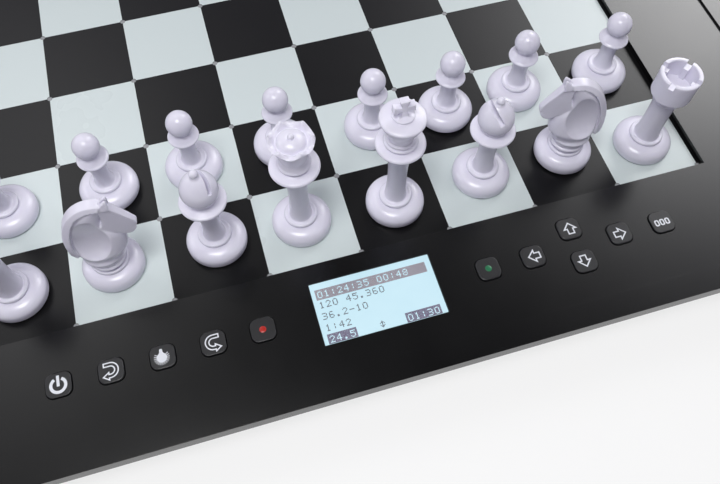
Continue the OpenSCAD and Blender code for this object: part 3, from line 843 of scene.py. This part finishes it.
def soften(profile, step=0.22, passes=2, turn=6.0, reach=5.0):
    """Rounds each corner of a profile as a mould does, and keeps only the points that it needs."""
    dense = [profile[0]]
    for (r0, z0), (r1, z1) in zip(profile, profile[1:]):
        count = max(1, round(math.hypot(r1 - r0, z1 - z0) / step))
        dense += [(r0 + (r1 - r0) * i / count, z0 + (z1 - z0) * i / count) for i in range(1, count + 1)]
    for _ in range(passes):
        inner = [((a[0] + 2 * b[0] + c[0]) / 4, (a[1] + 2 * b[1] + c[1]) / 4)
                 for a, b, c in zip(dense, dense[1:], dense[2:])]
        dense = [dense[0]] + inner + [dense[-1]]
    kept = [dense[0]]
    heading = None
    for here, after in zip(dense[1:], dense[2:]):
        way = math.atan2(after[1] - here[1], after[0] - here[0])
        if heading is None:
            heading = way
        bent = abs((way - heading + math.pi) % math.tau - math.pi)
        if bent > math.radians(turn) or math.dist(here, kept[-1]) > reach:
            kept.append(here)
            heading = way
    return kept + [dense[-1]]


def king_profile(height):
    """A wide collar, two fine rings, a flared cup and the post for the cross."""
    ring = height - 26
    cup = height - 10.5
    neck = [(4.9, ring + 4.5), (5.5, ring + 7.5), (head_wide - 0.6, cup - 1.6)]
    lid = [(6.8, cup + 1.3), (4.6, cup + 1.5)] + disc(4.4, cup + 2, 0.4)
    post = [(1.6, cup + 2.4), (1.6, height - 7.9), (0, height - 7.9)]
    rings = ([(5.0, ring + 1.5)] + disc(6.9, ring + 2.4, 0.6)
             + [(5.2, ring + 3.1)] + disc(6.1, ring + 3.9, 0.5))
    return (foot(7.1) + flare(9.2, ring - 1.6, 4.7, stem_waist, 5.6) + disc(disc_r, ring, 1.0)
            + rings + neck + disc(head_wide, cup, 0.9) + lid + post)


def queen_profile(height):
    """A wide collar, a cup with a rolled rim and a dome with a knob inside it."""
    ring = height - 19.7
    rim = height - 1.2
    cup = ([(5.2, ring + 6), (6.4, ring + 11), (head_wide - 0.4, rim - 1.8)]
           + arc(head_wide - 1.0, rim - 0.9, 0.9, 0.9, -10, 180, 9) + [(6.7, rim - 2.2), (6.1, rim - 3.0)])
    dome = arc(0, rim - 3.0, 5.6, 2.9, 0, 74, 12) + arc(0, height - 1.3, 1.3, 1.3, -20, 90, 7)
    return (foot(7.1) + flare(9.2, ring - 1.6, 4.7, stem_waist, 5.6) + disc(disc_r, ring, 1.0)
            + [(5.0, ring + 1.7)] + disc(6.6, ring + 2.9, 0.7) + cup + dome)


def bishop_profile(height):
    """A collar, a round head that runs up to a point, and a knob."""
    ring = height - 20.1
    head = height - 12.4
    head_r = 7.4
    slope = [math.radians(angle) for angle in range(5, 74, 5)]
    crown = [(head_r * math.cos(a) ** 1.25, head + 9.2 * math.sin(a)) for a in slope]
    top = arc(0, head, head_r, 6, -46, 0, 8) + crown + arc(0, height - 1.7, 1.7, 1.7, -35, 90, 9)
    return (foot(7.1) + flare(9.2, ring - 1.6, 4.7, stem_waist - 0.2, 5) + disc(9.4, ring, 0.9)
            + disc(5.8, ring + 2.4, 0.6) + top)


def rook_profile(height):
    """A narrow collar and a straight tower with a hollow top."""
    ring = height - 15.5
    cup = height - 12
    floor_z = height - 8
    wall = [(7.9, cup), (8.45, cup + 0.3), (8.5, cup + 0.9), (8.3, cup + 3)]
    brim = [(8.7, height - 0.5), (8.5, height), (6.9, height), (6.7, height - 0.3)]
    return (foot(7.4) + flare(9.2, ring - 1, 5.5, stem_waist + 0.9, stem_waist + 1.2)
            + disc(6.2, ring, 0.8) + [(5.5, ring + 1.4), (5.8, cup - 0.9)] + wall + brim
            + [(6.3, floor_z), (0, floor_z)])


def pawn_profile(height):
    """A collar and a ball."""
    head_r = 5.5
    collar = height - 13.8
    return (foot(6.9) + flare(9.2, collar - 1, 4.4, stem_waist - 0.5, 4.4) + disc(6.7, collar, 0.8)
            + arc(0, height - head_r, head_r, head_r, -50, 90, 22))


def scalloped(bm, height):
    """Draws the queen's rim into six rounded points with hollows between them."""
    rim = height - 1.2
    for vert in bm.verts:
        radius = math.hypot(vert.co.x, vert.co.y)
        rise = (vert.co.z - rim + 3.6) / 3.6
        if radius > 6.2 and rise > 0:
            wave = 0.5 - 0.5 * math.cos(6 * math.atan2(vert.co.y, vert.co.x))
            hollow = min(1.0, rise) ** 2 * wave ** 0.55
            vert.co.z -= 2.8 * hollow
            vert.co.xy *= 1 - 0.04 * hollow


def king_cross(height):
    """A cross with widening arms, in the XZ plane."""
    span, half_t = 4.2, 1.45
    outline = []
    for quarter in range(4):
        a = math.pi / 2 * quarter
        for x, z in ((0.95, 0.95), (1.9, span), (-1.9, span)):
            outline.append((x * math.cos(a) - z * math.sin(a), x * math.sin(a) + z * math.cos(a)))
    bm = bmesh.new()
    sides = [[bm.verts.new((x, y, z + height - span)) for x, z in outline] for y in (-half_t, half_t)]
    bm.faces.new(sides[0])
    bm.faces.new(sides[1][::-1])
    for i in range(len(outline)):
        j = (i + 1) % len(outline)
        bm.faces.new((sides[0][j], sides[0][i], sides[1][i], sides[1][j]))
    bmesh.ops.recalc_face_normals(bm, faces=bm.faces)
    return ease(place("cross", bm), 0.35, segments=3)


def shape(kind, profile_of, segments=88):
    """One chess piece at the origin, standing on its felt, as a mesh."""
    height = corners("white_" + kind)[1].z - deck
    bm = turned(soften(profile_of(height)), segments)
    if kind == "queen":
        scalloped(bm, height)
    piece = place(kind + "_shape", bm)
    tools = []
    if kind == "king":
        tools = [king_cross(height)]
    if kind == "bishop_c":
        tools = [bar(0.9, 9, 1.6, 12, spot=(0, 0, height - 10.7), tilt=-25.6)]
    if kind == "rook_a":
        tools = [bar(10, 1.15, height - 2.4, height + 1, turn=35 + 90 * side) for side in (0, 1)]
    for tool in tools:
        carve(piece, tool, "UNION" if kind == "king" else "DIFFERENCE")
    settle(piece, tools)
    if kind == "rook_a":
        steps = [bar(1.5, 1.1, height - 8.2, height - 2.4, spot=spoke(6.6, turn), turn=turn)
                 for turn in range(35, 360, 90)]
        for step in steps:
            carve(piece, step, "UNION")
        settle(piece, steps)
    if kind in ("bishop_c", "rook_a"):
        ease(piece, 0.2, angle=50)
    return piece


def spoke(radius, turn):
    """The point at a radius and a bearing round the middle."""
    return radius * math.cos(math.radians(turn)), radius * math.sin(math.radians(turn)), 0


def footing(node):
    """The middle of a chess piece's round foot, in millimetres."""
    foot_mesh = welded(node)
    low_verts = [vert.co for vert in foot_mesh.verts if vert.co.z < deck + foot_band + 0.5]
    sides = [(min(axis), max(axis)) for axis in zip(*[co.xy for co in low_verts])]
    foot_mesh.free()
    return [(low + high) / 2 for low, high in sides]


def set_piece(node, pattern, turn):
    """Stands a copy of a shape on its square, in place of its CAD node."""
    side = node.split("_")[0]
    x, y = footing(node)
    bm = bmesh.new()
    bm.from_mesh(pattern.data)
    bmesh.ops.scale(bm, vec=(1 / MM,) * 3, verts=bm.verts)
    bmesh.ops.rotate(bm, cent=(0, 0, 0), matrix=Matrix.Rotation(math.radians(turn), 3, "Z"), verts=bm.verts)
    bmesh.ops.translate(bm, vec=(x, y, deck), verts=bm.verts)
    for face in bm.faces:
        face.material_index = int(max(vert.co.z for vert in face.verts) < deck + felt_t * 0.9)
    piece = place(node + "_shape", bm, resin_white if side == "white" else resin_black, felt)
    piece.data.set_sharp_from_angle(angle=math.radians(38))
    fit(piece, node, side + "_piece", node)


PROFILES = {"king": ("king", king_profile), "queen": ("queen", queen_profile),
            "bishop": ("bishop_c", bishop_profile), "rook": ("rook_a", rook_profile),
            "pawn": ("pawn_a", pawn_profile)}
PIECE_TURNS = {"white_bishop_c": 207, "white_bishop_f": 2.4, "black_bishop_f": 180, "white_queen": -16}
patterns = {kind: shape(model, profile_of) for kind, (model, profile_of) in PROFILES.items()}
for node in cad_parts:
    side, kind = (node.split("_") + [""])[:2]
    if side in ("white", "black") and kind in patterns:
        set_piece(node, patterns[kind], PIECE_TURNS.get(node, 0))
for pattern in patterns.values():
    bpy.data.objects.remove(pattern)


# ---- Knights ----
# Moulded like the others: a turned foot, a bowl-shaped neck and a horse's head with a thick crest.
# Lofts and slabs are joined into one skin, so that every meeting line has the mould's small fillet.

def loft(rows, segments=72):
    """A closed solid through oval sections: (z, back, front, half width, squareness)."""
    bm = bmesh.new()
    rings = []
    for z, back, front, half, power in rows:
        ring = []
        for step in range(segments):
            a = math.tau * step / segments
            along, across = math.cos(a), math.sin(a)
            x = (back + front) / 2 + (front - back) / 2 * math.copysign(abs(along) ** (2 / power), along)
            ring.append(bm.verts.new((x, half * math.copysign(abs(across) ** (2 / power), across), z)))
        rings.append(ring)
    for low, high in zip(rings, rings[1:]):
        for this in range(segments):
            after = (this + 1) % segments
            bm.faces.new((low[this], low[after], high[after], high[this]))
    bm.faces.new(rings[0][::-1])
    bm.faces.new(rings[-1])
    return bm


def eased_rows(rows, steps=5):
    """Rows between the given ones, on a smooth curve through them."""
    ends = [rows[0]] + rows + [rows[-1]]
    out = []
    for before, here, after, last in zip(ends, ends[1:], ends[2:], ends[3:]):
        for step in range(steps):
            t = step / steps
            weights = (-0.5 * t + t * t - 0.5 * t ** 3, 1 - 2.5 * t * t + 1.5 * t ** 3,
                       0.5 * t + 2 * t * t - 1.5 * t ** 3, -0.5 * t * t + 0.5 * t ** 3)
            out.append(tuple(sum(w * v for w, v in zip(weights, values))
                             for values in zip(before, here, after, last)))
    return out + [rows[-1]]


def plate(outline, half_of, step=0.8):
    """A slab with the given side outline (x, z), and a half thickness that half_of(x, z) gives."""
    xs, zs = [x for x, z in outline], [z for x, z in outline]
    across, up = (round((max(v) - min(v)) / step) + 3 for v in (xs, zs))
    bm = bmesh.new()
    sheets = []
    for side in (-1, 1):
        sheet = []
        for i in range(across):
            for j in range(up):
                x, z = min(xs) + (i - 1) * step, min(zs) + (j - 1) * step
                sheet.append(bm.verts.new((x, side * half_of(x, z), z)))
        sheets.append(sheet)
    for i in range(across - 1):
        for j in range(up - 1):
            here = [i * up + j, (i + 1) * up + j, (i + 1) * up + j + 1, i * up + j + 1]
            bm.faces.new([sheets[0][k] for k in here])
            bm.faces.new([sheets[1][k] for k in here[::-1]])
    rim = ([i * up for i in range(across)] + [(across - 1) * up + j for j in range(1, up)]
           + [i * up + up - 1 for i in range(across - 2, -1, -1)] + [j for j in range(up - 2, 0, -1)])
    for this, after in zip(rim, rim[1:] + rim[:1]):
        bm.faces.new([sheets[0][after], sheets[0][this], sheets[1][this], sheets[1][after]])
    bmesh.ops.recalc_face_normals(bm, faces=bm.faces)
    block = place("block", bm)

    cutter = bmesh.new()
    walls = [[cutter.verts.new((x, y, z)) for x, z in outline] for y in (-20, 20)]
    cutter.faces.new(walls[0])
    cutter.faces.new(walls[1][::-1])
    for i in range(len(outline)):
        j = (i + 1) % len(outline)
        cutter.faces.new((walls[0][j], walls[0][i], walls[1][i], walls[1][j]))
    bmesh.ops.recalc_face_normals(cutter, faces=cutter.faces)
    stamp = place("stamp", cutter)
    carve(block, stamp, "INTERSECT")
    return settle(block, [stamp])


def egg(spot, axes, tilt=0):
    """An oval solid to join or cut with."""
    bm = bmesh.new()
    bmesh.ops.create_uvsphere(bm, u_segments=48, v_segments=24, radius=1.0)
    bmesh.ops.scale(bm, vec=axes, verts=bm.verts)
    bmesh.ops.rotate(bm, cent=(0, 0, 0), matrix=Matrix.Rotation(math.radians(tilt), 3, "Y"), verts=bm.verts)
    bmesh.ops.translate(bm, vec=spot, verts=bm.verts)
    return place("egg", bm)


def ramp(value, low, high):
    """0 at low, 1 at high and straight between."""
    return min(1.0, max(0.0, (value - low) / (high - low)))


neck_rows = [(12.5, -7.0, 7.0, 7.0, 2.0), (14.0, -7.9, 7.4, 6.9, 2.0), (15.2, -9.1, 8.1, 7.6, 2.0),
             (16.3, -8.7, 7.8, 7.0, 2.0), (17.6, -8.9, 8.5, 6.6, 2.1), (19.5, -9.4, 10.2, 7.1, 2.1),
             (21.0, -9.5, 11.1, 7.4, 2.1), (22.4, -9.4, 11.4, 7.1, 2.1), (25, -9.2, 11.6, 6.5, 2.1),
             (28, -8.8, 11.4, 5.8, 2.1), (31, -8.2, 10.3, 5.2, 2.1), (33.6, -7.6, 8.2, 4.7, 2.1),
             (36, -7.0, 6.0, 4.2, 2.1), (40, -5.3, 5.8, 3.6, 2.1), (44, -2.7, 7.0, 3.0, 2.1),
             (47.4, 1.0, 8.0, 2.2, 2.1)]
crest_x, crest_z, crest_rx, crest_rz = 4.7, 20.8, 16.7, 28.9
crest_outline = ([(-9.2, 18.6), (-12.0, 18.6)] + arc(crest_x, crest_z, crest_rx, crest_rz, 181, 79, 30)
                 + arc(crest_x, 22.2, 13.5, 25.2, 79, 187, 30))
brow = [(6.9, 48.6), (8.4, 48.4), (11.2, 46.4), (17.6, 35.4)]
lips = [(17.9, 34.4), (17.8, 33.1), (16.9, 32.5), (17.2, 31.4), (16.4, 29.9), (15.2, 28.9), (13.6, 28.6)]
jaw = [(11.8, 29.6), (9.6, 31.4), (7.2, 33.0), (4.9, 34.2),
       (5.2, 36.6), (6.2, 39.0), (6.6, 42.0), (6.9, 46.5)]
head_outline = brow + lips + jaw


def crest_half(x, z):
    """Half thickness of the crest: narrow along its outer edge and wider inwards."""
    reach = math.hypot((x - crest_x) / crest_rx, (z - crest_z) / crest_rz)
    return 2.1 + 1.9 * ramp(1 - reach, 0, 0.16)


def head_half(x, z):
    """Half thickness of the head: narrow along nose and brow, full at the cheek."""
    below = (8.2 - x) * 0.812 + (48.4 - z) * 0.584
    return 1.8 + 1.05 * ramp(below, 0, 10) - 0.4 * ramp(x, 12, 17.5)


def ear_plate(side):
    """A pointed ear that leans out to one side."""
    outline = [(7.4, 46.6), (7.9, 48.3), (9.0, 49.8), (10.3, 50.9), (10.9, 51.1),
               (11.2, 50.5), (11.2, 48.6), (10.8, 46.0)]
    ear = plate(outline, lambda x, z: 1.0 - 0.08 * max(0.0, z - 47), 0.5)
    lean = Matrix.Rotation(math.radians(side * 6), 4, "X")
    middle = Matrix.Translation((0, 0, 47 * MM))
    ear.data.transform(Matrix.Translation((0, side * 1.35 * MM, 0)) @ middle @ lean @ middle.inverted())
    return ear


def horse():
    """The neck, crest and head as one skin with small fillets."""
    neck = place("neck", loft(eased_rows(neck_rows)))
    for side in (-1, 1):
        dish = egg((-1.6, side * 7.6, 33.4), (10.2, 5.9, 14.2), tilt=16)
        carve(neck, dish)
        settle(neck, [dish])
    body = bmesh.new()
    crest, head = plate(crest_outline, crest_half), plate(head_outline, head_half)
    for part in (neck, crest, head, ear_plate(1), ear_plate(-1)):
        body.from_mesh(part.data)
        bpy.data.objects.remove(part)
    bmesh.ops.scale(body, vec=(1 / MM,) * 3, verts=body.verts)
    body = place("horse", body)
    skin = body.modifiers.new("skin", "REMESH")
    skin.mode = "VOXEL"
    skin.voxel_size = 0.30 * MM
    skin.use_smooth_shade = True
    relax = body.modifiers.new("fillets", "SMOOTH")
    relax.factor = 0.5
    relax.iterations = 5
    settle(body)
    cuts = [egg((11.7, side * 2.5, 42.8), (0.95, 0.75, 0.62), tilt=50) for side in (-1, 1)]
    cuts += [egg((16.3, side * 2.3, 31.9), (1.6, 0.6, 0.28), tilt=-28) for side in (-1, 1)]
    for cut in cuts:
        carve(body, cut)
    return settle(body, cuts)


knight_foot = foot(8) + [(6.7, 9.9)] + disc(7.6, 11.2, 0.9) + [(6.7, 12.6), (6.7, 13.8), (0, 13.8)]
knight_shape = place("knight_shape", turned(soften(knight_foot), 88))
knight_top = horse()
carve(knight_shape, knight_top, "UNION")
settle(knight_shape, [knight_top])
KNIGHT_TURNS = {"white_knight_b": -4.5, "white_knight_g": 166, "black_knight_b": 0, "black_knight_g": 180}
for node, turn in KNIGHT_TURNS.items():
    set_piece(node, knight_shape, turn)
bpy.data.objects.remove(knight_shape)


# ---- Floor, lamps and camera ----
# A plain pale floor, two soft lamps, a dim sky with small bright windows for the glossy
# parts to mirror, and a camera that looks down at the player's edge.

floor_mesh = bmesh.new()
bmesh.ops.create_grid(floor_mesh, x_segments=8, y_segments=8, size=3000)
floor_white = moulded("floor_white", (0.88, 0.88, 0.88), (0.90, 0.90, 0.90), 0.8, grain=3.0, bite=0.0)
floor_tree = floor_white.node_tree
path_of = add(floor_tree, "ShaderNodeLightPath").outputs
seen = either(floor_tree, path_of["Is Camera Ray"], path_of["Is Glossy Ray"])
seen = either(floor_tree, seen, path_of["Is Transmission Ray"])
paper = both(floor_tree, seen, 0.8)
pale = add(floor_tree, "ShaderNodeEmission", {"Color": (0.97, 0.97, 0.97, 1), "Strength": 1.0})
blend = add(floor_tree, "ShaderNodeMixShader", {0: paper})
floor_tree.links.new(floor_tree.nodes["Principled BSDF"].outputs[0], blend.inputs[1])
floor_tree.links.new(pale.outputs[0], blend.inputs[2])
under = add(floor_tree, "ShaderNodeNewGeometry").outputs["Backfacing"]
clear = add(floor_tree, "ShaderNodeBsdfTransparent")
one_sided = add(floor_tree, "ShaderNodeMixShader", {0: under, 1: blend.outputs[0], 2: clear.outputs[0]})
floor_tree.links.new(one_sided.outputs[0], floor_tree.nodes["Material Output"].inputs["Surface"])
floor = place("floor", floor_mesh, floor_white)


def softbox(name, spot, aim, wide, high, watts, colour):
    """A rectangular lamp at a spot, turned to face its aim; lengths in millimetres."""
    lamp = bpy.data.lights.new(name, "AREA")
    lamp.shape = "RECTANGLE"
    lamp.size = wide * MM
    lamp.size_y = high * MM
    lamp.energy = watts
    lamp.color = colour
    stand = bpy.data.objects.new(name, lamp)
    stand.location = Vector(spot) * MM
    stand.rotation_euler = (Vector(aim) - Vector(spot)).to_track_quat("-Z", "Y").to_euler()
    bpy.context.scene.collection.objects.link(stand)


softbox("window_left", (-1200, 500, 800), (0, -60, 0), 600, 450, 3, (0.97, 0.98, 1.0))
softbox("overhead", (-150, -300, 760), (0, -120, 0), 320, 220, 3.5, (1.0, 1.0, 1.0))

world = bpy.data.worlds.new("studio")
world.use_nodes = True
sky = world.node_tree
way = add(sky, "ShaderNodeTexCoord").outputs["Generated"]


def glow(azimuth, height, spread, strength):
    """A soft round patch of light in the sky; angles in degrees, spread to about a third."""
    a, h = math.radians(azimuth), math.radians(height)
    centre = (math.cos(h) * math.cos(a), math.cos(h) * math.sin(a), math.sin(h))
    toward = add(sky, "ShaderNodeVectorMath", {0: way, 1: centre}, operation="DOT_PRODUCT").outputs["Value"]
    narrow = 1 / (1 - math.cos(math.radians(spread)))
    peak = reckon(sky, "EXPONENT", reckon(sky, "MULTIPLY_ADD", toward, narrow, -narrow))
    return reckon(sky, "MULTIPLY", peak, strength)


def tint(operation, *terms):
    """The result of a Vector Math node on colours of the sky."""
    return add(sky, "ShaderNodeVectorMath", dict(enumerate(terms)), operation=operation).outputs["Vector"]


heading = add(sky, "ShaderNodeSeparateXYZ", {"Vector": way}).outputs
climb = add(sky, "ShaderNodeMapRange", {"Value": heading["Z"], "From Min": 0.72, "From Max": 0.90},
            interpolation_type="SMOOTHSTEP").outputs["Result"]
backdrop = two_tone(sky, climb, (0.25, 0.245, 0.31), (0.010, 0.010, 0.012))
player_side = add(sky, "ShaderNodeMapRange",
                  {"Value": heading["Y"], "From Min": -0.7, "From Max": 0.2, "To Min": 0.6, "To Max": 1.0},
                  interpolation_type="SMOOTHSTEP").outputs["Result"]
backdrop = tint("MULTIPLY", backdrop, player_side)
rays = add(sky, "ShaderNodeLightPath").outputs
share = add(sky, "ShaderNodeMapRange",
            {"Value": rays["Is Glossy Ray"], "To Min": 0.5, "To Max": 1.0}).outputs["Result"]
GLOWS = ((41, 35, 13, 10.0), (111, 51, 9, 3.0), (133, 58, 9, 1.0), (84, 52, 14, 0.12),
         (-60, 58, 2.6, 14.0), (-20, 52, 2.2, 14.0), (-150, 50, 2.2, 10.0))
for azimuth, height, spread, strength in GLOWS:
    patch = reckon(sky, "MULTIPLY", glow(azimuth, height, spread, strength), share)
    backdrop = tint("ADD", backdrop, patch)
low_down = add(sky, "ShaderNodeMapRange",
               {"Value": heading["Z"], "From Min": 0.05, "From Max": 0.35, "To Min": 1.0, "To Max": 0.0},
               interpolation_type="SMOOTHSTEP").outputs["Result"]
mirrored = both(sky, either(sky, rays["Is Glossy Ray"], rays["Is Transmission Ray"]), low_down)
shown = either(sky, rays["Is Camera Ray"], mirrored)
kept = tint("MULTIPLY", backdrop, reckon(sky, "SUBTRACT", 1.0, shown))
wall = tint("MULTIPLY_ADD", shown, (0.95, 0.95, 0.95), kept)
sky.links.new(wall, sky.nodes["Background"].inputs["Color"])
bpy.context.scene.world = world

camera_data = bpy.data.cameras.new("camera")
camera_data.sensor_width = 36.0
camera_data.lens = 35.29
camera = bpy.data.objects.new("camera", camera_data)
camera.location = Vector((-40.33, -288.13, 269.35 + deck)) * MM
camera.rotation_euler = [math.radians(angle) for angle in (27.315, -0.396, -16.387)]
bpy.context.scene.collection.objects.link(camera)
bpy.context.scene.camera = camera
bpy.context.scene.view_settings.view_transform = "Standard"
